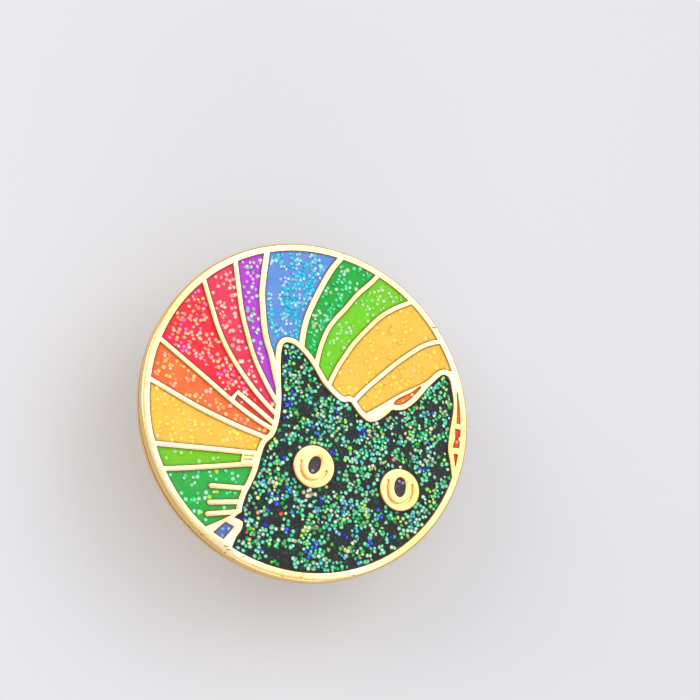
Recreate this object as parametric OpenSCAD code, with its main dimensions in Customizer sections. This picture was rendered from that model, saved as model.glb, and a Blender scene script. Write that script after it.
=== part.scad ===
// Round enamel pin: a struck, plated plate with raised lines, a glitter enamel fill in
// every recess, a pointed post and a butterfly clutch.
// Origin at the centre of the plate's back lip, +Z out of the face, +Y up the picture.

/* [Plate] */
// Diameter of the plate
pin_d = 25.4; // [20:0.1:40]
// Thickness of the plate, from its back lip to its polished lines
pin_t = 1.5; // [1.2:0.05:2.5]
// Width of the polished rim round the picture
rim_w = 0.6; // [0.4:0.05:1.2]
// Radius of the plate's rounded edges
edge_r = 0.18; // [0.1:0.02:0.3]
// Width of the smooth lip round the back
back_lip_w = 0.4; // [0.3:0.05:1]
// Depth of the sandblasted field inside the back lip
back_field_depth = 0.1; // [0.05:0.01:0.2]
// Width of the trimming line round the side wall
trim_line_w = 0.16; // [0.1:0.01:0.3]
// Depth of the trimming line
trim_line_depth = 0.06; // [0.03:0.01:0.1]

/* [Picture] */
// Depth of the recesses that hold the enamel
cell_depth = 0.5; // [0.3:0.05:0.8]
// How far the enamel stays below the polished lines
enamel_drop = 0.08; // [0.02:0.01:0.2]
// Width of the lines between the rays
ray_line_w = 0.36; // [0.2:0.01:0.5]
// Width of the heavier line on each side of the blue ray
blue_line_w = 0.45; // [0.25:0.01:0.6]
// Width of the line round the cat
cat_line_w = 0.42; // [0.25:0.01:0.6]
// Width of the thin line down the cat's right side
side_line_w = 0.3; // [0.2:0.01:0.4]
// Diameter of each eye
eye_d = 3.14; // [2:0.02:4]
// Width of the engraved grooves
groove_w = 0.16; // [0.1:0.01:0.25]
// Depth of the engraved grooves
groove_depth = 0.2; // [0.1:0.02:0.4]
// Width of the three bars at the cat's shoulder
bar_w = 0.36; // [0.2:0.01:0.45]

/* [Post] */
// Diameter of the post
post_d = 1.1; // [0.9:0.05:1.4]
// Length of the post from the back lip to its tip
post_len = 8; // [7.6:0.1:12]
// Length of the post's point
point_len = 1; // [0.6:0.1:1.5]
// Diameter of the flat at the very tip
tip_d = 0.2; // [0.1:0.05:0.4]
// Diameter of the post's welded foot
foot_d = 3.4; // [2.4:0.1:5]
// Height of the welded foot
foot_h = 0.35; // [0.2:0.05:0.6]
// Distance from the point to the catch groove
groove_back = 0.85; // [0.6:0.05:1.2]
// Width of the catch groove
catch_w = 0.55; // [0.55:0.05:0.7]
// Depth of the catch groove
catch_depth = 0.17; // [0.16:0.01:0.2]
// Width of the braze fillet round the foot
braze_w = 0.25; // [0.1:0.05:0.5]

/* [Clutch] */
// Diameter of the clutch's cap
cap_d = 11.2; // [9:0.1:14]
// Height of the cap
cap_h = 1.8; // [1.4:0.1:2.4]
// Thickness of the cap's sheet
cap_t = 0.3; // [0.2:0.05:0.4]
// Radius of the cap's rolled rim
roll_r = 0.3; // [0.2:0.05:0.4]
// Height of the whole clutch with its wings
clutch_h = 5.6; // [5:0.1:7]
// Thickness of the spring strip
strip_t = 0.3; // [0.2:0.05:0.4]
// Widest part of a wing
wing_w = 7.4; // [5:0.1:8]
// Width of the oval window in each wing
window_w = 1.5; // [0.8:0.1:2]
// Length of the oval window in each wing
window_len = 3; // [2:0.1:4]
// Clearance between the post and whatever slides on it
post_fit = 0.04; // [0.02:0.01:0.1]
// Clearance between the clutch's own moving pieces
clutch_fit = 0.04; // [0.02:0.01:0.1]

/* [Hidden] */
$fn = 96;
eps = 0.01;
gold = [0.93, 0.73, 0.36];

pin_r = pin_d / 2;
field_r = pin_r - rim_w;
enamel_top = pin_t - enamel_drop;
cell_floor = pin_t - cell_depth;
// The picture is drawn for a field of this radius and scales with the real one.
drawn_r = 12.1;
picture_scale = field_r / drawn_r;
span_steps = 4;
// Height of the trimming line, as a share of the plate's thickness
trim_height_share = 0.42;

// ---- Curves ----

// A point on the smooth curve between b and c, at t from 0 to 1
function between(a, b, c, d, t) =
  0.5 * (2 * b + (c - a) * t + (2 * a - 5 * b + 4 * c - d) * t * t
  + (3 * b - a - 3 * c + d) * t * t * t);

// A smooth open curve through the points p
function smooth(p, steps = span_steps) = [
  for (i = [0 : len(p) - 2])
    for (k = [0 : steps - 1])
      between(p[max(i - 1, 0)], p[i], p[i + 1], p[min(i + 2, len(p) - 1)], k / steps),
  p[len(p) - 1]
];

function unit(v) = v / norm(v);

// Direction of a curve at its point i
function heading(c, i) = unit(c[min(i + 1, len(c) - 1)] - c[max(i - 1, 0)]);

// The curve moved sideways, to the left of its direction
function shift(c, d) = [for (i = [0 : len(c) - 1]) c[i] + d * [-heading(c, i)[1], heading(c, i)[0]]];

function reverse(c) = [for (i = [len(c) - 1 : -1 : 0]) c[i]];

// A band of constant width along a curve
function band(c, w) = concat(shift(c, w / 2), reverse(shift(c, -w / 2)));

// Points of an ellipse, turned about its centre
function oval(centre, half_x, half_y, turn) = [
  for (a = [0 : 10 : 350])
    centre + [
      half_x * cos(a) * cos(turn) - half_y * sin(a) * sin(turn),
      half_x * cos(a) * sin(turn) + half_y * sin(a) * cos(turn)
    ]
];

// Points of a round arc
function arc(centre, r, from, to, steps = 6) = [
  for (k = [0 : steps])
    let (turn = from + (to - from) * k / steps)
    centre + r * [cos(turn), sin(turn)]
];

function drawn(p) = p * picture_scale;

// ---- The picture's lines, each from the rim towards the cat ----

line_yellow_orange = drawn([
  [-12.9, -1], [-9, -2.1], [-7, -2.55], [-5, -2.9], [-3, -3.15], [-1.6, -3.3]
]);
line_orange_red = drawn([
  [-12.9, 2.3], [-12, 1.85], [-10, 0.85], [-8, -0.14], [-6, -1.15], [-4, -2], [-2.7, -2.4], [-1.6, -2.7]
]);
line_red_rose = drawn([
  [-10.6, 8.6], [-9.8, 7.1], [-9, 5.6], [-8, 3.8], [-7, 2.45], [-6, 1.4], [-5, 0.5],
  [-4, -0.3], [-2.8, -1.1], [-1.6, -1.8]
]);
line_rose_purple = drawn([
  [-8.2, 10.5], [-7.75, 9.1], [-7.25, 7.6], [-6.55, 5.6], [-5.8, 4], [-5, 2.5],
  [-4, 1.15], [-3.1, 0.1], [-2, -1]
]);
line_purple_blue = drawn([
  [-5.7, 11.9], [-5.6, 10.7], [-5.5, 9], [-5.35, 7.5], [-5, 6.1], [-4.65, 4.9],
  [-4.25, 3.9], [-3.75, 3], [-3.15, 1.6], [-2.5, 0.2]
]);
line_blue_green = drawn([
  [0.6, 13], [0.1, 12], [-0.4, 11], [-0.85, 9.7], [-1.25, 8.3], [-1.55, 7], [-1.65, 6],
  [-1.65, 5], [-1.55, 3.8], [-1.4, 2.8]
]);
line_green_lime = drawn([
  [4.1, 12.8], [3.4, 11.75], [2.8, 10.8], [2, 9.7], [1.25, 8.3], [0.65, 7.3], [0.15, 6.2],
  [-0.1, 5], [-0.2, 4], [-0.2, 3], [-0.15, 2]
]);
line_lime_yellow = drawn([
  [7.2, 11], [6.1, 10.2], [5.1, 9.45], [4.1, 8.45], [3.25, 7.2], [2.45, 5.9], [1.9, 4.7], [1.47, 3.65],
  [1.18, 2.7], [1, 1.9], [0.85, 1]
]);
line_yellows = drawn([
  [11.4, 8.1], [9.7, 8], [8.9, 7.8], [8, 7.25], [7.1, 6.4], [6, 5.2], [5, 3.95], [4, 2.65],
  [3.3, 1.6], [2.8, 0.7]
]);
line_yellow_lime = drawn([
  [-12.6, -5.95], [-11, -5.7], [-8, -5.2], [-6, -4.87], [-4, -4.55], [-2, -4.2]
]);
line_lime_green = drawn([
  [-11.6, -7.85], [-9.9, -7.3], [-8, -6.72], [-6, -6.08], [-4, -5.42], [-2, -4.9]
]);
// Lower edge of the lower yellow ray
edge_yellow = drawn([
  [12, 6.1], [10.7, 5.9], [9.8, 5.65], [9, 4.85], [8, 3.95], [7, 3.2], [6, 2.3], [5.1, 1.45],
  [4.3, 0.75], [3.4, -0.1]
]);
// The step in the red ray: up from the orange line, then down towards the cat
step_line = drawn([
  [-6.35, -1.9], [-6.02, -1.15], [-5.68, -0.42], [-4.4, -1.05], [-2.7, -1.92], [-1.6, -2.5]
]);
below_step = drawn([[-1.6, -5], [-6.35, -5]]);

// The cat's outline, up its left side, over both ears and down its right side
cat_line = drawn([
  [-4.1, -13], [-3.95, -12.2], [-3.85, -11.4], [-3.7, -10.7], [-3.46, -10.15], [-3.42, -9.7],
  [-3.6, -9.2], [-3.7, -8.5], [-3.58, -7.5], [-3.32, -6.6], [-3.12, -5.6], [-3.05, -4.5],
  [-2.9, -3.6], [-2.46, -2.95], [-2.28, -2.2], [-2.25, -1.2], [-2.38, 0], [-2.6, 1],
  [-2.82, 2], [-3, 3], [-3.05, 3.9], [-2.84, 4.28], [-2.4, 4.35], [-1.9, 4.18], [-1, 3.6],
  [-0.2, 2.8], [0.5, 2.05], [1.2, 1.55], [2, 1.12], [2.5, 1.08], [2.85, 1.22], [3.2, 0.95],
  [3.65, 0.55], [4.2, 0.22], [4.8, 0.15], [5.4, 0.5], [5.95, 1.1], [6.25, 1.5], [6.75, 1.62],
  [7.3, 1.87], [7.9, 2.5], [8.4, 3.25], [8.8, 3.95], [9.25, 4.6], [9.65, 5.15], [10, 5.42],
  [10.35, 5.35], [10.65, 4.9], [10.9, 4.2], [11.12, 3.5], [11.2, 2.7], [11.17, 1.5],
  [11.17, 0.5], [11.25, -0.4], [11.5, -1.15], [11.75, -1.95], [12, -2.8], [12.5, -4]
]);
// Corners beyond the rim that close the cat's outline
cat_close = drawn([[14.5, -7], [10, -14.5], [0, -16.5], [-4.5, -15.5]]);

// Small nick where the cat's line meets the tag
nick = drawn([[-3.4, -9.55], [-3.75, -9.42], [-4.15, -9.38], [-3.95, -9.15], [-3.4, -8.6]]);

eye_left = drawn([0.98, -4.3]);
eye_right = drawn([7.85, -4.32]);
pupil_left = oval(drawn([1.02, -4.18]), 0.45, 0.7, -14);
pupil_right = oval(drawn([7.84, -4.12]), 0.46, 0.75, 4);
// Engraved line below each pupil
lid_left = [
  [-1.02, 0.25], [-0.98, -0.35], [-0.7, -0.85], [-0.15, -1.1], [0.45, -0.95], [0.85, -0.5], [1.02, -0.05]
];
lid_right = [
  [-1, 0.55], [-0.98, -0.1], [-0.75, -0.75], [-0.25, -1.1],
  [0.35, -1.02], [0.8, -0.6], [1, 0], [0.92, 0.65]
];
// Bars at the cat's shoulder, each from its round end into the cat's line
shoulder_bars = drawn([
  [[-6.22, -7.57], [-2.8, -6.98]],
  [[-6.1, -8.75], [-3, -7.94]],
  [[-6.07, -9.59], [-4, -8.92]]
]);
// Two engraved strokes where the lime ray stops short of the cat
stroke_lines = drawn([[[-4.3, -4.83], [-3.62, -4.72]], [[-4.3, -5.14], [-3.68, -4.98]]]);
lime_stop = drawn([[-4.45, -3.5], [-1.5, -3.5], [-1.5, -6.5], [-4.45, -6.5]]);
green_close = drawn([
  [-2.5, -8.2], [-4.1, -9.05], [-4.9, -9.67], [-6.3, -10.68], [-7.6, -12.4], [-13, -10]
]);
tag_cell = drawn([[-4.68, -9.82], [-4.02, -10.02], [-4.6, -11.05], [-5.42, -10.75]]);
sliver_cell = drawn([
  [6.25, 1.9], [6.35, 2.2], [6.6, 2.52], [7, 2.84], [7.6, 3.3], [8.15, 3.95], [8.7, 3.9], [7.4, 1.7]
]);
wedge_cell = drawn([[10.95, 5.5], [11.28, 4.2], [11.5, 2.9], [11.6, 1.9], [12.6, 1.9], [12.6, 5.5]]);
hourglass_cell = drawn([
  [11.55, 1.46], [12.4, 1.52], [11.88, 0.74], [12.4, 0.1], [11.55, -0.05], [11.68, 0.7]
]);
triangle_cell = drawn([[11.72, -0.5], [12.4, -0.42], [12.3, -2], [12.05, -1.75]]);

// ---- Flat outlines of the enamel cells ----

// The strip of the field between two neighbouring lines
module strip(first, second, first_w = ray_line_w, second_w = ray_line_w) {
  polygon(concat(
    shift(smooth(first), first_w / 2),
    reverse(shift(smooth(second), -second_w / 2))
  ));
}

// The cat with the line round it
module cat_area(line_w) {
  polygon(concat(shift(smooth(cat_line), line_w), cat_close));
}

// Keeps what lies inside the rim and clear of the cat's line
module in_field(line_w = cat_line_w) {
  difference() {
    intersection() {
      children();
      circle(r = field_r);
    }
    cat_area(line_w);
  }
}

module ray(first, second, first_w = ray_line_w, second_w = ray_line_w) {
  in_field() strip(first, second, first_w, second_w);
}

module cell_cat() {
  difference() {
    intersection() {
      union() {
        polygon(concat(smooth(cat_line), cat_close));
        polygon(nick);
      }
      circle(r = field_r);
    }
    translate(eye_left) circle(d = eye_d);
    translate(eye_right) circle(d = eye_d);
  }
}

module cell_red_step() {
  in_field() intersection() {
    strip(line_orange_red, line_red_rose);
    polygon(concat(shift(step_line, -ray_line_w / 2), below_step));
  }
}

module cell_red() {
  in_field() difference() {
    strip(line_orange_red, line_red_rose);
    polygon(concat(shift(step_line, ray_line_w / 2), below_step));
  }
}

module cell_yellow_lower() {
  in_field() polygon(concat(
    shift(smooth(line_yellows), ray_line_w / 2),
    reverse(smooth(edge_yellow))
  ));
}

module cell_lime_left() {
  difference() {
    in_field() strip(line_lime_green, line_yellow_lime);
    polygon(lime_stop);
  }
}

// A straight bar with a round first end
function bar(ends, w) =
  let (along = ends[1] - ends[0], turn = atan2(along[1], along[0]), side = w / 2 * [-sin(turn), cos(turn)])
  concat(arc(ends[0], w / 2, turn + 90, turn + 270, 8), [ends[1] - side, ends[1] + side]);

module cell_green_left() {
  difference() {
    in_field() polygon(concat(shift(smooth(line_lime_green), -ray_line_w / 2), green_close));
    for (ends = shoulder_bars) polygon(bar(ends, bar_w));
  }
}

// The flat outline of one enamel cell
module cell(name) {
  if (name == "cat") cell_cat();
  if (name == "pupil_left") polygon(pupil_left);
  if (name == "pupil_right") polygon(pupil_right);
  if (name == "yellow_left") ray(line_yellow_lime, line_yellow_orange);
  if (name == "orange_left") ray(line_yellow_orange, line_orange_red);
  if (name == "red_step") cell_red_step();
  if (name == "red") cell_red();
  if (name == "rose") ray(line_red_rose, line_rose_purple);
  if (name == "purple") ray(line_rose_purple, line_purple_blue, second_w = blue_line_w);
  if (name == "blue") ray(line_purple_blue, line_blue_green, blue_line_w, blue_line_w);
  if (name == "green_right") ray(line_blue_green, line_green_lime, first_w = blue_line_w);
  if (name == "lime_right") ray(line_green_lime, line_lime_yellow);
  if (name == "yellow_upper") ray(line_lime_yellow, line_yellows);
  if (name == "yellow_lower") cell_yellow_lower();
  if (name == "lime_left") cell_lime_left();
  if (name == "green_left") cell_green_left();
  if (name == "blue_tag") polygon(tag_cell);
  if (name == "orange_sliver") in_field() polygon(sliver_cell);
  if (name == "orange_wedge") in_field(side_line_w) polygon(wedge_cell);
  if (name == "red_hourglass") in_field(side_line_w) polygon(hourglass_cell);
  if (name == "red_triangle") in_field(side_line_w) polygon(triangle_cell);
}

CELLS = [
  "cat", "pupil_left", "pupil_right", "yellow_left", "orange_left", "red_step", "red", "rose",
  "purple", "blue", "green_right", "lime_right", "yellow_upper", "yellow_lower", "lime_left",
  "green_left", "blue_tag", "orange_sliver", "orange_wedge", "red_hourglass", "red_triangle"
];

// ---- Plate and enamel ----

// Half section of the plate: rounded edges, a trimming line round the wall, a lip round the back
module plate_section() {
  lip_r = pin_r - back_lip_w;
  trim_z = pin_t * trim_height_share;
  polygon(concat(
    [[0, back_field_depth], [lip_r - back_field_depth, back_field_depth], [lip_r, 0]],
    arc([pin_r - edge_r, edge_r], edge_r, -90, 0),
    [
      [pin_r, trim_z - trim_line_w / 2],
      [pin_r - trim_line_depth, trim_z],
      [pin_r, trim_z + trim_line_w / 2]
    ],
    arc([pin_r - edge_r, pin_t - edge_r], edge_r, 0, 90),
    [[0, pin_t]]
  ));
}

module grooves() {
  translate([0, 0, pin_t - groove_depth]) linear_extrude(groove_depth + eps) {
    translate(eye_left) polygon(band(smooth(lid_left), groove_w));
    translate(eye_right) polygon(band(smooth(lid_right), groove_w));
    for (ends = stroke_lines) polygon(band(ends, groove_w / 2));
  }
}

module pin_body() {
  color(gold) difference() {
    rotate_extrude() plate_section();
    for (name = CELLS)
      translate([0, 0, cell_floor]) linear_extrude(cell_depth + eps) cell(name);
    grooves();
  }
}

module enamel(name, shade) {
  color(shade) translate([0, 0, cell_floor]) linear_extrude(enamel_top - cell_floor) cell(name);
}

// ---- Post ----

module post() {
  shank_end = post_len - point_len;
  catch_end = shank_end - groove_back;
  catch_r = post_d / 2 - catch_depth;
  color("silver") translate([0, 0, back_field_depth]) mirror([0, 0, 1]) rotate_extrude() polygon([
    [0, 0],
    [foot_d / 2, 0],
    [foot_d / 2, foot_h],
    [post_d / 2, foot_h],
    [post_d / 2, back_field_depth + catch_end - catch_w],
    [catch_r, back_field_depth + catch_end - catch_w],
    [catch_r, back_field_depth + catch_end],
    [post_d / 2, back_field_depth + catch_end],
    [post_d / 2, back_field_depth + shank_end],
    [tip_d / 2, back_field_depth + post_len],
    [0, back_field_depth + post_len]
  ]);
}

// Height of the braze fillet, as a share of the foot's
braze_height_share = 0.7;

module braze_ring() {
  ring_h = foot_h * braze_height_share;
  color(gold) translate([0, 0, back_field_depth]) mirror([0, 0, 1]) rotate_extrude() polygon(concat(
    [[foot_d / 2, ring_h], [foot_d / 2, 0], [foot_d / 2 + braze_w, 0]],
    [for (a = [20 : 20 : 80]) [foot_d / 2 + braze_w * (1 - sin(a)), ring_h * (1 - cos(a))]]
  ));
}

// ---- Butterfly clutch: sections drawn with the second axis pointing away from the plate ----

cap_top = foot_h - back_field_depth + clutch_fit;
cap_inside = cap_top + cap_t;
cap_end = cap_top + cap_h;
strip_low = cap_inside + clutch_fit;
wing_end = cap_top + clutch_h;
cap_r = cap_d / 2;
bore_r = post_d / 2 + post_fit;
wing_r = cap_r - cap_t - roll_r - 2 * clutch_fit;
corner_r = cap_h * 0.4;
strip_w = wing_w * 0.55;
strip_window = [3.4, 2.8];
fold_r = strip_t * 1.5;
fold_x = cap_r - cap_t - roll_r - fold_r - clutch_fit;
fold_h = strip_low + fold_r + strip_t / 2;
neck_r = strip_t * 2.2;
neck_x = fold_x - 3 * strip_t;
neck_h = fold_h + fold_r + neck_r;
// The wing's loop: how far it swells out past the neck, its top, half its width near
// the top, and how far below the top that is
belly = 0.35;
crest_x = neck_x - 0.95;
loop_half_w = 1;
loop_shoulder = 0.75;
// Where the wing turns in towards the post, and its jaw with room to open
throat_x = post_d / 2 + 0.43;
jaw_gap = 0.75;
jaw_h = strip_low + strip_t + jaw_gap;
jaw_x = 0.3;
wing_centre_x = 0.6;
window_cut = 1.6;

// Turns a section in the XZ plane with its second axis along -Z
module along_y(w) {
  translate([0, w / 2, 0]) mirror([0, 0, 1]) rotate([90, 0, 0]) linear_extrude(w) children();
}

module clutch_cap() {
  outer = concat(
    [[bore_r, cap_top]],
    arc([cap_r - corner_r, cap_top + corner_r], corner_r, -90, 0),
    [[cap_r, cap_end - roll_r]]
  );
  inner = concat(
    [[cap_r - cap_t, cap_end - roll_r]],
    arc([cap_r - corner_r, cap_top + corner_r], corner_r - cap_t, 0, -90),
    [[bore_r, cap_inside]]
  );
  color(gold) mirror([0, 0, 1]) rotate_extrude() {
    polygon(concat(outer, inner));
    translate([cap_r - roll_r, cap_end - roll_r]) circle(r = roll_r);
  }
}

// Centre line of the strip's end: round the fold, then up to the neck
function fold_line() = concat(
  arc([fold_x, fold_h], fold_r, -90, 90, 10),
  arc([neck_x + neck_r, neck_h], neck_r, 270, 180, 6)
);

// Room for the strip inside the cap, clear of its walls and its rolled rim
module cap_room() {
  wall_r = cap_r - cap_t - clutch_fit;
  roll_inner_r = cap_r - 2 * roll_r - clutch_fit;
  roll_low = cap_end - 2 * roll_r - clutch_fit;
  mirror([0, 0, 1]) rotate_extrude() polygon(concat(
    [[0, strip_low]],
    arc([cap_r - corner_r, cap_top + corner_r], corner_r - cap_t - clutch_fit, -90, 0),
    [[wall_r, roll_low], [roll_inner_r, roll_low], [roll_inner_r, wing_end], [0, wing_end]]
  ));
}

module strip_end() {
  intersection() {
    along_y(strip_w) polygon(band(fold_line(), strip_t));
    cap_room();
  }
}

module clutch_strip() {
  color(gold) {
    difference() {
      intersection() {
        translate([-fold_x, -strip_w / 2, -strip_low - strip_t]) cube([2 * fold_x, strip_w, strip_t]);
        cap_room();
      }
      translate([-strip_window[0] / 2, -strip_window[1] / 2, -strip_low - strip_t - eps])
        cube([strip_window[0], strip_window[1], strip_t + 2 * eps]);
    }
    strip_end();
    mirror([1, 0, 0]) strip_end();
  }
}

// Centre line of a wing: from the neck, out and over, and down to the jaw beside the post
function wing_line() = smooth([
  [neck_x, neck_h + clutch_fit],
  [neck_x, neck_h + 0.25],
  [neck_x + belly / 2, neck_h + 0.7],
  [neck_x + belly, neck_h + 1.4],
  [crest_x + loop_half_w, wing_end - loop_shoulder],
  [crest_x, wing_end - strip_t / 2],
  [crest_x - loop_half_w, wing_end - loop_shoulder],
  [throat_x + 0.22, neck_h + 1.2],
  [throat_x, neck_h],
  [throat_x - 0.06, jaw_h + 0.4],
  [throat_x - 0.26, jaw_h],
  [jaw_x, jaw_h - 0.1]
], 6);

module wing() {
  color(gold) difference() {
    intersection() {
      along_y(wing_w) polygon(band(wing_line(), strip_t));
      translate([wing_centre_x, 0, -wing_end]) cylinder(r = wing_w / 2, h = wing_end);
      translate([0, 0, -wing_end]) cylinder(r = wing_r, h = wing_end);
    }
    translate([0, 0, -wing_end]) cylinder(r = bore_r, h = wing_end);
    translate([crest_x, 0, -wing_end - eps]) linear_extrude(window_cut) {
      square([window_w, window_len - window_w], center = true);
      for (side = [-1, 1])
        translate([0, side * (window_len - window_w) / 2]) circle(d = window_w);
    }
  }
}

module wing_right() {
  wing();
}

module wing_left() {
  mirror([1, 0, 0]) wing();
}

pin_body();
enamel("cat", [0.1, 0.12, 0.15]);  // enamel_cat
enamel("pupil_left", [0.16, 0.14, 0.25]);  // enamel_pupil_left
enamel("pupil_right", [0.16, 0.14, 0.22]);  // enamel_pupil_right
enamel("yellow_left", [1, 0.79, 0.33]);  // enamel_yellow_left
enamel("orange_left", [0.98, 0.5, 0.24]);  // enamel_orange_left
enamel("red_step", [0.93, 0.22, 0.25]);  // enamel_red_step
enamel("red", [0.96, 0.2, 0.28]);  // enamel_red
enamel("rose", [0.92, 0.3, 0.43]);  // enamel_rose
enamel("purple", [0.72, 0.32, 0.84]);  // enamel_purple
enamel("blue", [0.43, 0.58, 0.88]);  // enamel_blue
enamel("green_right", [0.1, 0.7, 0.33]);  // enamel_green_right
enamel("lime_right", [0.42, 0.83, 0.16]);  // enamel_lime_right
enamel("yellow_upper", [1, 0.8, 0.37]);  // enamel_yellow_upper
enamel("yellow_lower", [1, 0.81, 0.4]);  // enamel_yellow_lower
enamel("lime_left", [0.52, 0.82, 0.1]);  // enamel_lime_left
enamel("green_left", [0.3, 0.68, 0.32]);  // enamel_green_left
enamel("blue_tag", [0.42, 0.52, 0.78]);  // enamel_blue_tag
enamel("orange_sliver", [0.95, 0.5, 0.2]);  // enamel_orange_sliver
enamel("orange_wedge", [0.93, 0.5, 0.2]);  // enamel_orange_wedge
enamel("red_hourglass", [0.9, 0.32, 0.2]);  // enamel_red_hourglass
enamel("red_triangle", [0.9, 0.35, 0.25]);  // enamel_red_triangle
post();
braze_ring();
clutch_cap();
clutch_strip();
wing_left();
wing_right();
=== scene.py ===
import math

import bmesh
import bpy
import numpy as np
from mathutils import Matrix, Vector
from mathutils.geometry import delaunay_2d_cdt


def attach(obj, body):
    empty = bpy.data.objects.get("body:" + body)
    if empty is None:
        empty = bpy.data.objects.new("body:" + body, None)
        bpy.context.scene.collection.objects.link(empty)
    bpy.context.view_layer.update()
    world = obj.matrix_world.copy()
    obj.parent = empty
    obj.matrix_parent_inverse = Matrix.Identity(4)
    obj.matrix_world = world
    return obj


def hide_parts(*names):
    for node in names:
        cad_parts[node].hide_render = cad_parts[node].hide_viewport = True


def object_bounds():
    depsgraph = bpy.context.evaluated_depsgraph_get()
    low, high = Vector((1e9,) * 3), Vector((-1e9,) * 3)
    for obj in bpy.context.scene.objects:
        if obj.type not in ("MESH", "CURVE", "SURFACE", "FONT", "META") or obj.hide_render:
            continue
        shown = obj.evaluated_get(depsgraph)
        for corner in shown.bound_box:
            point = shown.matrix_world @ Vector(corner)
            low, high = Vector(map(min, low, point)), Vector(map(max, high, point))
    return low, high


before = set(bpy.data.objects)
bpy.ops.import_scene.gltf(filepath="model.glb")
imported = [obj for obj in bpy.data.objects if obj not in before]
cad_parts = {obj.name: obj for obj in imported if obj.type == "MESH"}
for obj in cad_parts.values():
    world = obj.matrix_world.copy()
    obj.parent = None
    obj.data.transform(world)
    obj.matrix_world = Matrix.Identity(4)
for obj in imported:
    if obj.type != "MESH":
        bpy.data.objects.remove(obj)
cad_low, cad_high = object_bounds()
mm = 0.001


# ---- Camera, floor and light ----
# The pin is seen from above and a little to its lower left, close up. It stands over
# a plain pale floor, with one large soft window of light that its polished face mirrors.

camera_spot = np.array([-29.3, -31.3, 94.6]) * mm
camera_turn = np.radians([16.87, -21.84, 10.03])

scene = bpy.context.scene
scene.view_settings.view_transform = "Standard"
scene.view_settings.look = "None"

camera = bpy.data.objects.new("camera", bpy.data.cameras.new("camera"))
scene.collection.objects.link(camera)
camera.data.lens = 72
camera.data.sensor_width = 36
camera.data.clip_start = 1 * mm
camera.data.clip_end = 5
camera.location = camera_spot
camera.rotation_euler = camera_turn
scene.camera = camera


def new_piece(name, points, faces, material, smooth=True):
    """A mesh object at the origin from an array of points in metres and an array of faces."""
    mesh = bpy.data.meshes.new(name)
    mesh.from_pydata(np.asarray(points).tolist(), [], [list(face) for face in faces])
    mesh.polygons.foreach_set("use_smooth", np.full(len(mesh.polygons), smooth))
    mesh.update()
    piece = bpy.data.objects.new(name, mesh)
    scene.collection.objects.link(piece)
    mesh.materials.append(material)
    return piece


class Finish:
    """A new material with its nodes, and short ways to add and join them."""

    def __init__(self, name):
        self.material = bpy.data.materials.new(name)
        self.material.use_nodes = True
        self.tree = self.material.node_tree
        self.shader = self.tree.nodes["Principled BSDF"]

    def add(self, kind, **values):
        node = self.tree.nodes.new(kind)
        for key, value in values.items():
            if hasattr(node, key):
                setattr(node, key, value)
            else:
                node.inputs[key.replace("_", " ")].default_value = value
        return node

    def join(self, out, into):
        self.tree.links.new(out, into)

    def where(self):
        """Object coordinates, in metres."""
        return self.add("ShaderNodeTexCoord").outputs["Object"]

    def noise(self, grain, detail=3.0, stretch=(1, 1, 1), rough=0.5):
        """Noise with a grain of that many metres, from 0 to 1."""
        turn = self.add("ShaderNodeMapping", Scale=stretch)
        self.join(self.where(), turn.inputs["Vector"])
        node = self.add("ShaderNodeTexNoise", Scale=1 / grain, Detail=detail, Roughness=rough)
        self.join(turn.outputs["Vector"], node.inputs["Vector"])
        return node.outputs["Fac"]

    def spread(self, value, low, high, from_low=0.3, from_high=0.7):
        """A value from 0 to 1 stretched to run between two numbers."""
        node = self.add("ShaderNodeMapRange")
        self.join(value, node.inputs["Value"])
        node.inputs["From Min"].default_value = from_low
        node.inputs["From Max"].default_value = from_high
        node.inputs["To Min"].default_value = low
        node.inputs["To Max"].default_value = high
        return node.outputs["Result"]

    def multiply(self, first, second):
        node = self.add("ShaderNodeMath", operation="MULTIPLY")
        self.join(first, node.inputs[0])
        self.join(second, node.inputs[1])
        return node.outputs[0]

    def blend(self, factor, first, second, how="MIX"):
        """Two colours, or a node's output and a colour, mixed by a factor."""
        node = self.add("ShaderNodeMix", data_type="RGBA", blend_type=how)
        # The sockets of a mix node that hold its factor and its two colours.
        for value, socket in ((factor, 0), (first, 6), (second, 7)):
            if isinstance(value, bpy.types.NodeSocket):
                self.join(value, node.inputs[socket])
            else:
                node.inputs[socket].default_value = value
        return node.outputs[2]

    def bump(self, height, depth):
        """Joins a height to the shader's normal, over the bumps already there."""
        node = self.add("ShaderNodeBump", Strength=1.0, Distance=depth)
        self.join(height, node.inputs["Height"])
        before = self.shader.inputs["Normal"]
        if before.links:
            self.join(before.links[0].from_socket, node.inputs["Normal"])
        self.join(node.outputs["Normal"], before)


def tone(red, green, blue):
    """An 8-bit sRGB colour as linear red, green, blue and alpha."""
    srgb = np.array([red, green, blue]) / 255
    linear = np.where(srgb <= 0.04045, srgb / 12.92, ((srgb + 0.055) / 1.055) ** 2.4)
    return (*linear.tolist(), 1.0)


floor_finish = Finish("pale_floor")
floor_finish.shader.inputs["Base Color"].default_value = tone(226, 226, 230)
floor_finish.shader.inputs["Roughness"].default_value = 0.7
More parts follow.
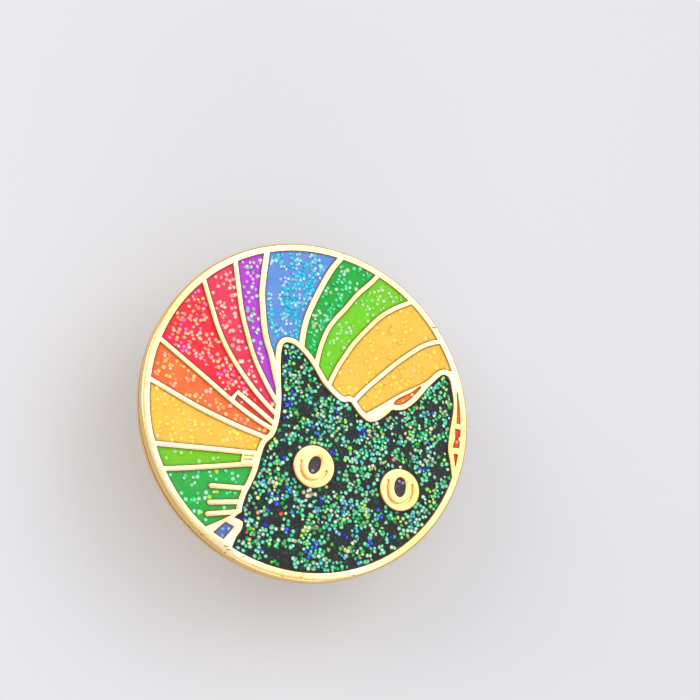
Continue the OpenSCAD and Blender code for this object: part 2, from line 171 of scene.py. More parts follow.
# Seen from below the floor is clear, so that the pin's back can be looked at.
clear = floor_finish.add("ShaderNodeBsdfTransparent")
side = floor_finish.add("ShaderNodeNewGeometry")
either = floor_finish.add("ShaderNodeMixShader")
floor_finish.join(side.outputs["Backfacing"], either.inputs[0])
floor_finish.join(floor_finish.shader.outputs["BSDF"], either.inputs[1])
floor_finish.join(clear.outputs["BSDF"], either.inputs[2])
floor_finish.join(either.outputs["Shader"], floor_finish.tree.nodes["Material Output"].inputs["Surface"])
floor_gap = 0.02 * mm
floor_level = cad_low.z - floor_gap
floor_size = 6000 * mm
corners = np.array([[-1, -1, 0], [1, -1, 0], [1, 1, 0], [-1, 1, 0]]) * floor_size / 2
floor = new_piece("floor", corners + [0, 0, floor_level], [[0, 1, 2, 3]], floor_finish.material)

scene.world = bpy.data.worlds.new("studio")
scene.world.use_nodes = True
studio = scene.world.node_tree
sky = studio.nodes["Background"]
direction = studio.nodes.new("ShaderNodeTexCoord")
height = studio.nodes.new("ShaderNodeSeparateXYZ")
shade_by_height = studio.nodes.new("ShaderNodeValToRGB")
studio.links.new(direction.outputs["Generated"], height.inputs["Vector"])
studio.links.new(height.outputs["Z"], shade_by_height.inputs["Fac"])
studio.links.new(shade_by_height.outputs["Color"], sky.inputs["Color"])
sky_places = (0.0, 0.3, 0.75)
sky_levels = (0.40, 0.6, 0.84)
sky_blue = 1.01
shade_by_height.color_ramp.elements.new(sky_places[1])
for stop, place, level in zip(shade_by_height.color_ramp.elements, sky_places, sky_levels):
    stop.position = place
    stop.color = (level, level, level * sky_blue, 1)


def soft_light(name, spot, size, power, colour):
    """A rectangular area light turned to face the pin's middle, in millimetres and watts."""
    lamp = bpy.data.lights.new(name, "AREA")
    lamp.shape = "RECTANGLE"
    lamp.size, lamp.size_y = size[0] * mm, size[1] * mm
    lamp.energy = power
    lamp.color = colour
    light = bpy.data.objects.new(name, lamp)
    scene.collection.objects.link(light)
    light.location = Vector(spot) * mm
    light.rotation_mode = "QUATERNION"
    light.rotation_quaternion = Vector(spot).to_track_quat("Z", "Y")


soft_light("window", (118, 138, 260), (220, 200), 0.17, (1.0, 0.985, 0.95))
soft_light("left_card", (-240, 60, 130), (160, 200), 0.24, (0.97, 0.98, 1.0))
soft_light("front_card", (60, -260, 60), (220, 120), 0.18, (1.0, 0.97, 0.92))


# ---- Plate ----
# The plate is struck from zinc alloy or iron, polished on its raised lines and rim,
# and plated with bright gold. Striking and polishing leave every line's edge round.

line_edge = 0.04 * mm
edge_steps = 3
weld_mm = 0.001
same_level = 0.002 * mm
rim_band = 0.4 * mm
sharpest_cosine = -0.4
plate_radius = (cad_high.x - cad_low.x) / 2


def node_mesh(name):
    """A CAD node's points and triangles, with points in the same place made one."""
    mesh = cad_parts[name].data
    loose = np.empty(len(mesh.vertices) * 3)
    mesh.vertices.foreach_get("co", loose)
    grid = np.round(loose.reshape(-1, 3) / (weld_mm * mm)).astype(np.int64)
    points, same = np.unique(grid, axis=0, return_inverse=True)
    corners = np.empty(len(mesh.loops), dtype=np.int64)
    mesh.loops.foreach_get("vertex_index", corners)
    tris = same.ravel()[corners].reshape(-1, 3)
    whole = (tris != np.roll(tris, 1, axis=1)).all(axis=1)
    return points * weld_mm * mm, tris[whole]


def at_level(points, tris, level):
    """Which triangles lie flat at a level."""
    return (np.abs(points[tris][:, :, 2] - level) < same_level).all(axis=1)


def edge_loops(points, tris, level):
    """The closed outlines of the flat region at a level, each with the region on its left."""
    flat = tris[at_level(points, tris, level)]
    ends = np.concatenate([flat[:, [0, 1]], flat[:, [1, 2]], flat[:, [2, 0]]])
    size = len(points)
    lone = ~np.isin(ends[:, 0] * size + ends[:, 1], ends[:, 1] * size + ends[:, 0])
    after = dict(ends[lone].tolist())
    loops = []
    while after:
        first, following = after.popitem()
        loop = [first]
        while following != first:
            loop.append(following)
            following = after.pop(following)
        loops.append(np.array(loop))
    return loops


def inward(outline):
    """For each point of a closed outline, the step into the region on its left that
    moves both of its edges by one unit: their two normals added and divided by one
    plus the cosine between them."""
    along = np.roll(outline, -1, axis=0) - outline
    along /= np.linalg.norm(along, axis=1)[:, None]
    normal = np.stack([-along[:, 1], along[:, 0]], axis=1)
    before = np.roll(normal, 1, axis=0)
    cosine = np.maximum((normal * before).sum(axis=1), sharpest_cosine)
    return (normal + before) / (1 + cosine)[:, None]


def rounded_plate():
    """The plate with each line's square edge made a quarter round: the flat top draws
    back from the recess by the edge's radius, and the wall starts that much lower. The
    rim is round as it is."""
    points, tris = node_mesh("pin_body")
    top = points[:, 2].max()
    widest = np.linalg.norm(points[:, :2], axis=1).max()
    rings = []
    strips = []
    lower = {}
    count = len(points)
    for loop in edge_loops(points, tris, top):
        outline = points[loop][:, :2]
        if np.linalg.norm(outline, axis=1).min() > widest - rim_band:
            continue
        step = inward(outline) * line_edge
        points[loop, :2] = outline + step
        previous = loop
        for k in range(1, edge_steps + 1):
            angle = math.pi / 2 * k / edge_steps
            ring = np.empty((len(loop), 3))
            ring[:, :2] = outline + step * (1 - math.sin(angle))
            ring[:, 2] = top - line_edge * (1 - math.cos(angle))
            rings.append(ring)
            ids = count + np.arange(len(loop))
            count += len(loop)
            strips.append(np.stack([np.roll(previous, -1), previous, ids, np.roll(ids, -1)], axis=1))
            previous = ids
        lower.update(zip(loop.tolist(), previous.tolist(), strict=True))
    flat = at_level(points, tris, top)
    renamed = np.arange(len(points))
    renamed[list(lower)] = list(lower.values())
    walls = renamed[tris[~flat]]
    faces = [*tris[flat].tolist(), *walls.tolist(), *np.concatenate(strips).tolist()]
    return np.concatenate([points, *rings]), faces


patch_grain = 7 * mm
scratch_grain = 0.5 * mm
scratch_stretch = (1, 9, 1)
dent_grain = 0.9 * mm
dents_to_scratches = 3


def gold_finish(name, light, deep, roughness, grain, scratch_depth):
    """Bright gold plating: two golds in soft patches, uneven polish and fine scratches."""
    gold = Finish(name)
    patches = gold.noise(patch_grain)
    gold.join(gold.blend(gold.spread(patches, 0, 1), light, deep), gold.shader.inputs["Base Color"])
    polish = gold.noise(grain, detail=4.0)
    gold.join(gold.spread(polish, *roughness), gold.shader.inputs["Roughness"])
    gold.shader.inputs["Metallic"].default_value = 1.0
    gold.bump(gold.noise(scratch_grain, detail=4.0, stretch=scratch_stretch), scratch_depth)
    gold.bump(gold.noise(dent_grain, detail=2.0), dents_to_scratches * scratch_depth)
    return gold


plate_gold = gold_finish(
    "plate_gold", tone(255, 240, 198), tone(252, 208, 130), (0.14, 0.28), 0.4 * mm, 0.003 * mm
)
# How far each spot is below the polished top, and whether it is on the rim and side wall.
rim_width = 0.5 * mm
# The painted shade fades in from this far below the polished top to this near it.
recess_shade_reach = 0.06 * mm
recess_shade_margin = 0.004 * mm
rim_blend = 0.02 * mm
field_radius = plate_radius - rim_width
split = plate_gold.add("ShaderNodeSeparateXYZ")
plate_gold.join(plate_gold.where(), split.inputs["Vector"])
below = plate_gold.spread(
    split.outputs["Z"], 1, 0, cad_high.z - recess_shade_reach, cad_high.z - recess_shade_margin
)
flatten = plate_gold.add("ShaderNodeVectorMath", operation="MULTIPLY")
plate_gold.join(plate_gold.where(), flatten.inputs[0])
flatten.inputs[1].default_value = (1, 1, 0)
reach = plate_gold.add("ShaderNodeVectorMath", operation="LENGTH")
plate_gold.join(flatten.outputs[0], reach.inputs[0])
rim_end = field_radius + rim_blend
in_field = plate_gold.spread(reach.outputs["Value"], 1, 0, field_radius, rim_end)
on_wall = plate_gold.spread(reach.outputs["Value"], 0, 1, field_radius, rim_end)
# A trimming line runs round the side wall, a little under half way up.
line_share = 0.42
line_half_width = 0.05 * mm
line_fade_end = 0.09 * mm
off_line = plate_gold.add("ShaderNodeMath", operation="SUBTRACT")
plate_gold.join(split.outputs["Z"], off_line.inputs[0])
off_line.inputs[1].default_value = line_share * cad_high.z
size_off = plate_gold.add("ShaderNodeMath", operation="ABSOLUTE")
plate_gold.join(off_line.outputs[0], size_off.inputs[0])
in_line = plate_gold.spread(size_off.outputs[0], 1, 0, line_half_width, line_fade_end)
# Handling has left small brown nicks along the rim.
nick_grain = 0.55 * mm
nick_noise = plate_gold.noise(nick_grain, stretch=(1, 2.5, 1))
nicks = plate_gold.spread(nick_noise, 0, 1, 0.66, 0.7)
# Painted shade: the rounded edges of the lines, the walls of the recesses and the engraved grooves are
# painted a deeper amber, and the side wall below the top a deeper gold. The trimming line and the nicks
# are laid over it.
painted_shade_and_marks = (
    (below, in_field, tone(250, 212, 140)),
    (below, on_wall, tone(246, 200, 112)),
    (in_line, on_wall, tone(120, 66, 16)),
    (nicks, on_wall, tone(176, 112, 40)),
)
shaded_and_marked_gold = plate_gold.shader.inputs["Base Color"].links[0].from_socket
for first_mask, second_mask, tint in painted_shade_and_marks:
    shaded_and_marked_gold = plate_gold.blend(plate_gold.multiply(first_mask, second_mask), shaded_and_marked_gold, tint)
plate_gold.join(shaded_and_marked_gold, plate_gold.shader.inputs["Base Color"])
plate = new_piece("plate", *rounded_plate(), plate_gold.material)
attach(plate, "pin")
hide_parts("pin_body")


def shade_by_angle(piece, degrees):
    """Smooth shading that breaks where two faces meet at more than this angle."""
    bpy.context.view_layer.objects.active = piece
    piece.select_set(True)
    bpy.ops.object.shade_smooth_by_angle(angle=math.radians(degrees))
    piece.select_set(False)


sharp_angle = 32
shade_by_angle(plate, sharp_angle)


# ---- Sandblasted back ----
# Inside its smooth lip the back is left as it comes from a sandblasted die: a crumpled
# field of shallow pits and bumps, plated with the rest.

band_width = 0.18


def smooth_noise(rng, count, pitch, wave):
    """A square of random heights in which bumps are about one wave apart: white noise
    filtered to a band of frequencies, with a spread of 1."""
    white = np.fft.rfft2(rng.standard_normal((count, count)))
    high = np.hypot(np.fft.fftfreq(count)[:, None], np.fft.rfftfreq(count)[None, :]) * wave / pitch
    band = np.exp(-((high - 1) ** 2) / band_width)
    field = np.fft.irfft2(white * band, s=(count, count))
    return field / field.std()


lip_width = 0.5 * mm
back_depth = 0.1 * mm
back_pitch = 0.09 * mm
back_spokes = 700
mean_rise_mm = 0.05
relief_mm = 0.045
coarse_wave = 0.42 * mm
fine_wave = 0.22 * mm
coarse_share, fine_share, grit_share = 0.5, 0.35, 0.15
coarse_crush, fine_crush = 1.3, 1.2
lip_fade = 0.35 * mm


def blasted_back():
    """A round skin over the back: rings of points from the centre out, moved down from
    the plate by two noises and a little grit, and level with the plate at its edge."""
    radius = plate_radius - lip_width
    ring_count = int(radius / back_pitch)
    rings = np.linspace(0.0, radius, ring_count + 1)[1:]
    angles = np.linspace(0, 2 * np.pi, back_spokes, endpoint=False)
    x = (rings[:, None] * np.cos(angles)).ravel()
    y = (rings[:, None] * np.sin(angles)).ravel()
    rng = np.random.default_rng(11)
    count, pitch = 512, 0.055 * mm
    coarse = smooth_noise(rng, count, pitch, coarse_wave)
    fine = smooth_noise(rng, count, pitch, fine_wave)
    column = np.floor(x / pitch).astype(int) % count
    row = np.floor(y / pitch).astype(int) % count
    relief = coarse_share * np.tanh(coarse_crush * coarse[row, column])
    relief = relief + fine_share * np.tanh(fine_crush * fine[row, column])
    relief += grit_share * rng.uniform(-1, 1, len(x))
    fade = np.clip((radius - np.hypot(x, y)) / lip_fade, 0, 1)
    z = back_depth - (mean_rise_mm + relief_mm * relief) * mm * fade
    middle = [[0, 0, back_depth - mean_rise_mm * mm]]
    points = np.concatenate([middle, np.stack([x, y, z], axis=1)])
    i = np.arange(back_spokes)
    j = (i + 1) % back_spokes
    centre = np.stack([np.zeros(back_spokes, int), 1 + j, 1 + i], axis=1)
    start = 1 + back_spokes * np.arange(ring_count - 1)[:, None]
    outer = start + back_spokes
    quads = np.stack([start + i, start + j, outer + j, outer + i], axis=2)
    return points, [*centre.tolist(), *quads.reshape(-1, 4).tolist()]


back_gold = gold_finish(
    "back_gold", tone(255, 236, 176), tone(252, 222, 130), (0.3, 0.5), 0.3 * mm, 0.006 * mm
)
# Painted shade: patches of a darker gold, placed by a noise, stand in for the shade in the pits between
# the blasted grains.
grit_grain, grit_depth = 0.14 * mm, 0.02 * mm
hollow_shade_grain = 0.36 * mm
back_gold.bump(back_gold.noise(grit_grain, detail=2.0), grit_depth)
hollow_shade_noise = back_gold.noise(hollow_shade_grain, detail=5.0, rough=0.7)
hollow_shade = back_gold.spread(hollow_shade_noise, 0, 1, 0.46, 0.66)
bright = back_gold.shader.inputs["Base Color"].links[0].from_socket
back_gold.join(
    back_gold.blend(hollow_shade, bright, tone(212, 178, 62)), back_gold.shader.inputs["Base Color"]
)
back_points, back_faces = blasted_back()
back = new_piece("blasted_back", back_points, back_faces, back_gold.material)
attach(back, "pin")


# ---- Enamel fills ----
# Each recess is filled by hand with a coloured resin enamel full of cut film glitter and
# baked. It sinks a little as it cures, and creeps up the gold round its edge.

sink = 0.03 * mm
creep_height = 0.035 * mm
creep_reach = 0.1 * mm
wave_height = 0.006 * mm
wave_x, wave_y = 0.9 * mm, 0.7 * mm
fine_pitch, usual_pitch = 0.09 * mm, 0.17 * mm
small_cell = 3 * mm
grid_stray = 0.12
grid_wall_gap = 0.45
dark_reach = 0.16 * mm
fill_angle = 50


def inside(spots, start, end):
    """Whether each spot is inside the outlines made by these edges, by counting how
    many of them a line to its right crosses."""
    x, y = spots[:, :1], spots[:, 1:]
    rise = np.where(end[:, 1] == start[:, 1], 1e-12, end[:, 1] - start[:, 1])
    spans = (start[:, 1] > y) != (end[:, 1] > y)
    cross = start[:, 0] + (y - start[:, 1]) / rise * (end[:, 0] - start[:, 0])
    return (spans & (x < cross)).sum(axis=1) % 2 == 1


def wall_distance(spots, start, end):
    """How far each spot is from the nearest of these edges."""
    along = end - start
    best = np.full(len(spots), np.inf)
    for part in np.array_split(np.arange(len(spots)), max(1, len(spots) // 2000)):
        gap = spots[part][:, None] - start
        share = np.clip((gap * along).sum(axis=2) / (along**2).sum(axis=1), 0, 1)
        best[part] = np.linalg.norm(gap - share[:, :, None] * along, axis=2).min(axis=1)
    return best


def hex_grid(low, high, pitch):
    """Points a pitch apart in staggered rows over a rectangle."""
    rows = np.arange(low[1], high[1] + pitch, pitch * math.sqrt(3) / 2)
    columns = np.arange(low[0], high[0] + pitch, pitch)
    x, y = np.meshgrid(columns, rows)
    x[1::2] += pitch / 2
    return np.stack([x.ravel(), y.ravel()], axis=1)


class Cell:
    """One recess: its outlines as edges, taken from the top face of its CAD fill."""

    def __init__(self, node):
        points, tris = node_mesh(node)
        self.level = points[:, 2].max()
        self.floor = points[:, 2].min()
        self.loops = [points[loop][:, :2] for loop in edge_loops(points, tris, self.level)]
        self.start = np.concatenate(self.loops)
        self.end = np.concatenate([np.roll(loop, -1, axis=0) for loop in self.loops])
        self.low, self.high = self.start.min(axis=0), self.start.max(axis=0)


def refined(loop, pitch):
    """A closed outline with its edges cut to at most a pitch long."""
    after = np.roll(loop, -1, axis=0)
    cuts = np.maximum(1, np.ceil(np.linalg.norm(after - loop, axis=1) / pitch).astype(int))
    place = np.repeat(np.arange(len(loop)), cuts)
    share = (np.arange(cuts.sum()) - np.repeat(np.cumsum(cuts) - cuts, cuts)) / np.repeat(cuts, cuts)
    return loop[place] + share[:, None] * (after - loop)[place]


def fill_mesh(cell, pitch, rng):
    """A closed fill: its top sinks, waves gently and creeps up the walls by a bell curve
    of the distance to them; its walls and base are those of the recess. Also how far
    each of its points is from a wall."""
    rims = [refined(loop, pitch) for loop in cell.loops]
    spots = hex_grid(cell.low, cell.high, pitch)
    spots += rng.uniform(-grid_stray, grid_stray, spots.shape) * pitch
    spots = spots[inside(spots, cell.start, cell.end)]
    spots = spots[wall_distance(spots, cell.start, cell.end) > grid_wall_gap * pitch]
    rim = np.concatenate(rims)
    flat = np.concatenate([rim, spots])
    first = np.cumsum([0] + [len(r) for r in rims])
    after = np.concatenate([a + np.roll(np.arange(len(r)), -1) for a, r in zip(first, rims)])
    edges = np.stack([np.arange(len(rim)), after], axis=1)
    scaled = [Vector(p) for p in (flat / mm).tolist()]
    out = delaunay_2d_cdt(scaled, edges.tolist(), [], 0, 1e-6)
    corners, tris, origin = np.array([v[:] for v in out[0]]) * mm, np.array(out[2]), out[3]
    mid = corners[tris].mean(axis=1)
    tris = tris[inside(mid, cell.start, cell.end)]
    away = wall_distance(corners, cell.start, cell.end)
    wave = wave_height * (np.sin(corners[:, 0] / wave_x) + np.sin(corners[:, 1] / wave_y))
    top = cell.level - sink + wave + creep_height * np.exp(-((away / creep_reach) ** 2))
    count = len(corners)
    points = np.concatenate([
        np.column_stack([corners, top]),
        np.column_stack([corners, np.full(count, cell.floor)]),
    ])
    mapped = {source: k for k, sources in enumerate(origin) for source in sources}
    sides = [[mapped[b], mapped[a], mapped[a] + count, mapped[b] + count] for a, b in edges.tolist()]
    return points, [*tris.tolist(), *(tris[:, ::-1] + count).tolist(), *sides], away


cloud_grain = 1.6 * mm
speck_size = 0.21 * mm
speck_strength = 0.55
wall_shade = 0.45
seam_shade_strength = 0.55
skin_grain, skin_depth = 0.35 * mm, 0.004 * mm


def enamel_finish(name, colour, deep, speck, speck_share):
    """Glossy enamel: the pigment in soft clouds, darkened by painted shade against the
    gold walls, with specks of glitter that lie deep in it, under a clear skin."""
    enamel = Finish(name)
    clouds = enamel.noise(cloud_grain)
    body = enamel.blend(enamel.spread(clouds, 0, 1), colour, deep)
    flecks = enamel.add("ShaderNodeTexVoronoi", Scale=1 / speck_size)
    enamel.join(enamel.where(), flecks.inputs["Vector"])
    pick = enamel.add("ShaderNodeSeparateColor")
    enamel.join(flecks.outputs["Color"], pick.inputs["Color"])
    deep_flake = enamel.spread(pick.outputs[0], 0, speck_strength, 1 - speck_share, 1.0)
    near = enamel.spread(flecks.outputs["Distance"], 1, 0, 0.25, 0.5)
    body = enamel.blend(enamel.multiply(deep_flake, near), body, speck)
    # Painted shade darkens the enamel near the gold walls, where it rolls up them.
    wall = enamel.add("ShaderNodeAttribute", attribute_name="from_wall")
    edge_shade = enamel.spread(wall.outputs["Fac"], wall_shade, 1.0, 0.0, 1.0)
    shade = enamel.add("ShaderNodeCombineColor")
    for socket in range(3):
        enamel.join(edge_shade, shade.inputs[socket])
    body = enamel.blend(1.0, body, shade.outputs[0], how="MULTIPLY")
    # A narrow brown line of painted shade runs where the enamel meets the gold.
    seam_shade = enamel.spread(wall.outputs["Fac"], seam_shade_strength, 0, 0.1, 0.5)
    body = enamel.blend(seam_shade, body, tone(140, 74, 24))
    enamel.join(body, enamel.shader.inputs["Base Color"])
    enamel.shader.inputs["Roughness"].default_value = 0.34
    enamel.shader.inputs["Specular IOR Level"].default_value = 0.12
    enamel.shader.inputs["Coat Weight"].default_value = 0.25
    enamel.shader.inputs["Coat Roughness"].default_value = 0.06
    enamel.bump(enamel.noise(skin_grain, detail=2.0), skin_depth)
    return enamel.material


# Each glitter's film comes in a few shades: how common, its rim and its bright middle, which is a
# painted glint.
CAT_GLITTER = [
    # share, edge colour, middle colour with its painted glint, from blue through green to red
    (0.07, (24, 28, 200), (90, 100, 255)),
    (0.05, (0, 110, 200), (110, 215, 255)),
    (0.14, (0, 165, 140), (140, 255, 228)),
    (0.13, (0, 150, 90), (232, 255, 248)),
    (0.17, (0, 182, 90), (150, 255, 200)),
    (0.13, (0, 165, 66), (236, 255, 240)),
    (0.10, (0, 120, 58), (10, 215, 100)),
    (0.10, (56, 190, 40), (200, 255, 120)),
    (0.05, (140, 200, 60), (255, 255, 190)),
    (0.03, (190, 170, 90), (255, 246, 222)),
    (0.01, (220, 50, 40), (255, 190, 170)),
]
SHADES = {
    # name: enamel, its cloud, deep speck, share of specks, flakes per mm2, glitter
    "black": ((16, 17, 26), (30, 29, 36), (4, 122, 74), 0.7, 7.2, CAT_GLITTER),
    "pupil": ((50, 40, 70), (70, 62, 68), (120, 110, 150), 0.4, 3.0,
              [(1.0, (110, 100, 140), (160, 155, 185))]),
    "yellow": ((255, 206, 80), (255, 195, 68), (255, 226, 90), 0.3, 2.4,
               [(0.8, (255, 220, 70), (255, 240, 110)), (0.2, (250, 200, 110), (255, 225, 170))]),
    "orange": ((254, 126, 60), (250, 108, 48), (255, 165, 90), 0.3, 4.5,
               [(0.6, (255, 160, 70), (255, 235, 160)), (0.4, (255, 150, 110), (255, 225, 205))]),
    "red": ((250, 30, 60), (246, 44, 56), (255, 100, 90), 0.3, 5.5,
            [(0.62, (255, 120, 90), (255, 225, 190)), (0.14, (250, 60, 160), (255, 150, 230)),
             (0.24, (255, 150, 130), (255, 245, 220))]),
    "scarlet": ((244, 74, 48), (238, 54, 50), (255, 130, 90), 0.3, 3.0,
                [(0.7, (255, 130, 80), (255, 215, 170)), (0.3, (255, 170, 130), (255, 240, 220))]),
    "rose": ((244, 62, 98), (238, 48, 84), (255, 120, 140), 0.3, 4.4,
             [(0.6, (250, 130, 140), (255, 215, 205)), (0.4, (255, 160, 130), (255, 242, 215))]),
    "purple": ((178, 66, 214), (204, 56, 216), (215, 130, 240), 0.3, 4.4,
               [(0.4, (200, 130, 225), (240, 210, 250)), (0.6, (150, 185, 180), (228, 250, 238))]),
    "blue": ((92, 144, 226), (112, 152, 222), (70, 200, 240), 0.4, 7.6,
             [(0.5, (10, 172, 222), (70, 240, 246)), (0.35, (70, 190, 230), (220, 254, 255)),
              (0.15, (140, 165, 235), (210, 220, 255))]),
    "green": ((10, 178, 60), (40, 164, 56), (50, 225, 110), 0.35, 5.5,
              [(0.55, (20, 205, 110), (110, 250, 180)), (0.3, (90, 215, 130), (228, 255, 238)),
               (0.15, (170, 205, 90), (242, 240, 180))]),
    "green_left": ((70, 168, 72), (20, 186, 70), (60, 220, 110), 0.35, 3.6,
                   [(0.5, (60, 215, 130), (175, 255, 215)), (0.3, (110, 220, 150), (235, 255, 240)),
                    (0.2, (160, 220, 40), (225, 250, 120))]),
    "lime_left": ((128, 208, 14), (104, 202, 26), (160, 235, 80), 0.3, 1.4,
                  [(0.7, (140, 220, 70), (195, 245, 140)), (0.3, (170, 200, 160), (235, 240, 220))]),
    "tag": ((92, 112, 186), (104, 126, 200), (120, 170, 220), 0.4, 3.0,
            [(1.0, (120, 170, 225), (180, 225, 245))]),
    "lime": ((110, 214, 22), (126, 208, 10), (165, 240, 90), 0.35, 3.4,
             [(0.6, (130, 228, 80), (200, 252, 150)), (0.4, (150, 222, 130), (230, 252, 215))]),
}
FILLS = {
    "enamel_cat": "black",
    "enamel_pupil_left": "pupil",
    "enamel_pupil_right": "pupil",
    "enamel_yellow_left": "yellow",
    "enamel_orange_left": "orange",
    "enamel_red_step": "scarlet",
    "enamel_red": "red",
    "enamel_rose": "rose",
    "enamel_purple": "purple",
    "enamel_blue": "blue",
    "enamel_green_right": "green",
    "enamel_lime_right": "lime",
    "enamel_yellow_upper": "yellow",
    "enamel_yellow_lower": "yellow",
    "enamel_lime_left": "lime_left",
    "enamel_green_left": "green_left",
    "enamel_blue_tag": "tag",
    "enamel_orange_sliver": "orange",
    "enamel_orange_wedge": "orange",
    "enamel_red_hourglass": "scarlet",
    "enamel_red_triangle": "scarlet",
}
flake_radius = 0.165 * mm
flake_tilt = 13
most_tilt = 24
core_share = 0.4
flake_points = 13
smallest, largest = 0.72, 1.15
flake_stray = 0.42
flake_wall_share = 0.9
spare_flakes = 1.55
crowd_wave, region_wave, group_wave = 1.5 * mm, 4 * mm, 2.2 * mm
region_share, crowd_scatter = 0.6, 0.9
sparse_level = -0.55
lowest_mm, highest_mm = 0.006, 0.02
float_share = 0.6
colour_spread, group_pull = 0.7, 0.17
# How weak and how strong a flake's painted glint can be.
faintest_glint, strongest_glint = 0.2, 1.45
top_margin = 0.003 * mm
# How far painted shade dims the ring of a flake whose glint is weak, on the cat and elsewhere.
cat_rim_shade, usual_rim_shade = 0.6, 0.15


def glitter_mesh(cell, per_mm2, kinds, rng):
    """Six-sided flakes on the fill, tilted at random, each a hexagon under half as wide as the flake
    inside a ring of six faces. A painted glint of random strength brightens each middle, and painted
    shade dims the ring of a flake whose glint is weak, most on the cat. They crowd where a slow noise
    is high, and a second noise groups their colours. None stands above the gold lines."""
    pitch = mm / math.sqrt(per_mm2 * spare_flakes)
    spots = hex_grid(cell.low, cell.high, pitch)
    spots += rng.uniform(-flake_stray, flake_stray, spots.shape) * pitch
    spots = spots[inside(spots, cell.start, cell.end)]
    spots = spots[wall_distance(spots, cell.start, cell.end) > flake_radius * flake_wall_share]
    count, step = 256, 0.11 * mm
    crowd = smooth_noise(rng, count, step, crowd_wave)
    crowd = crowd + region_share * smooth_noise(rng, count, step, region_wave)
    column = np.floor(spots[:, 0] / step).astype(int) % count
    row = np.floor(spots[:, 1] / step).astype(int) % count
    keep = crowd[row, column] + rng.normal(0, crowd_scatter, len(spots)) > sparse_level
    spots, column, row = spots[keep], column[keep], row[keep]
    amount = len(spots)
    radius = flake_radius * rng.uniform(smallest, largest, amount)
    turn = rng.uniform(0, np.pi / 3, amount)
    corner = turn[:, None] + np.arange(6) * np.pi / 3
    ring = np.stack([np.cos(corner), np.sin(corner)], axis=2) * radius[:, None, None]
    tilt = rng.normal(0, flake_tilt, (amount, 2)).clip(-most_tilt, most_tilt)
    slope = np.tan(np.radians(tilt))
    lift = (ring * slope[:, None]).sum(axis=2)
    half_height = np.abs(lift).max(axis=1)
    above = rng.uniform(lowest_mm, highest_mm, amount) * mm
    middle = cell.level - sink + above + half_height * float_share
    middle = np.minimum(middle, cad_high.z - top_margin - half_height)
    points = np.empty((amount, flake_points, 3))
    points[:, 0, :2], points[:, 0, 2] = spots, middle
    points[:, 1:7, :2] = spots[:, None] + core_share * ring
    points[:, 1:7, 2] = middle[:, None] + core_share * lift
    points[:, 7:, :2] = spots[:, None] + ring
    points[:, 7:, 2] = middle[:, None] + lift
    start = flake_points * np.arange(amount)[:, None]
    i = np.arange(6)
    j = (i + 1) % 6
    inner, outer = start + 1, start + 7
    core = np.stack([start + 0 * i, inner + i, inner + j], axis=2).reshape(-1, 3)
    edge = np.stack([inner + i, outer + i, outer + j, inner + j], axis=2).reshape(-1, 4)
    shares = np.cumsum([kind[0] for kind in kinds])
    group = smooth_noise(rng, count, step, group_wave)[row, column] * group_pull
    place = 0.5 + colour_spread * (rng.random(amount) - 0.5) + group
    folded = 1 - np.abs(1 - np.abs(place))
    chosen = np.searchsorted(shares / shares[-1], folded).clip(0, len(kinds) - 1)
    rim_colour = np.array([tone(*kind[1]) for kind in kinds])[chosen]
    middle_glint_colour = np.array([tone(*kind[2]) for kind in kinds])[chosen]
    # A painted glint of random strength brightens each flake's middle.
    glint = rng.uniform(faintest_glint, strongest_glint, amount)[:, None].clip(0, 1)
    colours = np.empty((amount, flake_points, 4))
    colours[:, :7] = (rim_colour + (middle_glint_colour - rim_colour) * glint)[:, None]
    # Painted shade dims the ring of a flake whose glint is weak, most on the cat.
    rim_shade = cat_rim_shade if kinds is CAT_GLITTER else usual_rim_shade
    colours[:, 7:] = (rim_colour * (1 - rim_shade + rim_shade * glint))[:, None]
    colours[..., 3] = 1
    return points.reshape(-1, 3), [*core.tolist(), *edge.tolist()], colours.reshape(-1, 4)


def glitter_finish():
    """Metal-coated film, tinted by each flake's own colours with their painted glints, and sealed under
    the skin.
    """
    film = Finish("glitter_film")
    colour = film.add("ShaderNodeAttribute", attribute_name="film_colour_and_glint")
    film.join(colour.outputs["Color"], film.shader.inputs["Base Color"])
    film.shader.inputs["Metallic"].default_value = 0.12
    film.shader.inputs["Roughness"].default_value = 0.36
    film.shader.inputs["Specular IOR Level"].default_value = 0.25
    film.shader.inputs["Coat Weight"].default_value = 0.15
    film.shader.inputs["Coat Roughness"].default_value = 0.08
    return film.material


film_material = glitter_finish()
enamel_materials = {
    name: enamel_finish(name + "_enamel", tone(*row[0]), tone(*row[1]), tone(*row[2]), row[3])
    for name, row in SHADES.items()
}

for number, (node, shade) in enumerate(FILLS.items()):
    cell = Cell(node)
    rng = np.random.default_rng(100 + number)
    small = (cell.high - cell.low).max() < small_cell
    points, faces, away = fill_mesh(cell, fine_pitch if small else usual_pitch, rng)
    fill = new_piece(node.replace("enamel", "fill"), points, faces, enamel_materials[shade])
    near = fill.data.attributes.new("from_wall", "FLOAT", "POINT")
    near.data.foreach_set("value", np.tile(np.clip(away / dark_reach, 0, 1), 2))
    shade_by_angle(fill, fill_angle)
    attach(fill, "pin")
    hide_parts(node)
    points, faces, colours = glitter_mesh(cell, SHADES[shade][4], SHADES[shade][5], rng)
    if len(points):
        flakes = new_piece(node.replace("enamel", "glitter"), points, faces, film_material, smooth=False)
        film = flakes.data.attributes.new("film_colour_and_glint", "FLOAT_COLOR", "POINT")
        film.data.foreach_set("color", colours.ravel())
        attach(flakes, "pin")


# ---- Post ----
# The post is a drawn and headed steel or brass wire with a turned catch groove and a
# ground point. Its flat foot is silver-brazed on before the whole pin is plated.

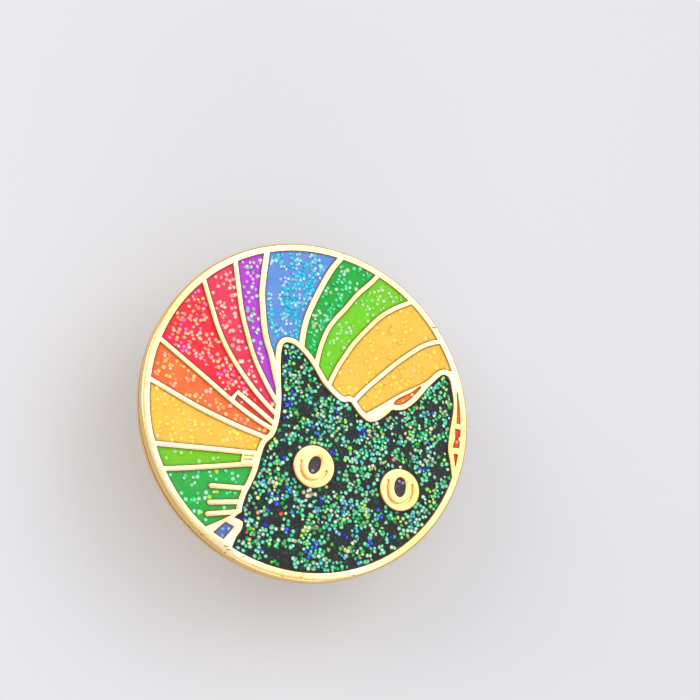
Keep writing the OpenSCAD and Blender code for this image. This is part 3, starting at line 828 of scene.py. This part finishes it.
post_edge = 0.03 * mm
flat_angle = 0.4
bevel_steps = 3
smooth_angle = 40


def merged_copy(node, material, edge):
    """A CAD node's mesh made one closed mesh of whole flat faces, its edges rounded."""
    points, tris = node_mesh(node)
    piece = new_piece(node + "_plated", points, tris, material)
    work = bmesh.new()
    work.from_mesh(piece.data)
    bmesh.ops.dissolve_limit(
        work, angle_limit=math.radians(flat_angle), verts=work.verts, edges=work.edges, delimit=set()
    )
    work.to_mesh(piece.data)
    work.free()
    piece.data.polygons.foreach_set("use_smooth", np.full(len(piece.data.polygons), True))
    bevel = piece.modifiers.new("rounded_edges", "BEVEL")
    bevel.width = edge
    bevel.segments = bevel_steps
    bevel.limit_method = "ANGLE"
    bevel.angle_limit = math.radians(sharp_angle)
    shade_by_angle(piece, smooth_angle)
    return piece


post_gold = gold_finish(
    "post_gold", tone(250, 220, 150), tone(238, 196, 110), (0.18, 0.32), 0.3 * mm, 0.003 * mm
)
post = merged_copy("post", post_gold.material, post_edge)
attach(post, "pin")
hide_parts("post")

# The braze draws into a smooth bright fillet round the foot, with a few small ripples.
braze_gold = gold_finish(
    "braze_gold", tone(250, 216, 140), tone(232, 180, 90), (0.2, 0.36), 0.15 * mm, 0.004 * mm
)
braze_gold.bump(braze_gold.noise(0.3 * mm, detail=3.0), 0.015 * mm)
braze_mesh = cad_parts["braze_ring"].data
braze_mesh.materials.clear()
braze_mesh.materials.append(braze_gold.material)


# ---- Butterfly clutch ----
# A cap drawn from thin brass sheet, its rim rolled inward over a spring strip that was
# cut and bent from the same sheet into two wings. All of it is barrel-plated bright gold.

clutch_gold = gold_finish(
    "clutch_gold", tone(255, 222, 136), tone(247, 190, 86), (0.09, 0.2), 0.5 * mm, 0.002 * mm
)
sheet_edge = 0.07 * mm
clutch_bodies = {
    "clutch_cap": "cap",
    "clutch_strip": "strip",
    "wing_left": "left_wing",
    "wing_right": "right_wing",
}
for node, body in clutch_bodies.items():
    sheet = merged_copy(node, clutch_gold.material, sheet_edge)
    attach(sheet, body)
    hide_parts(node)
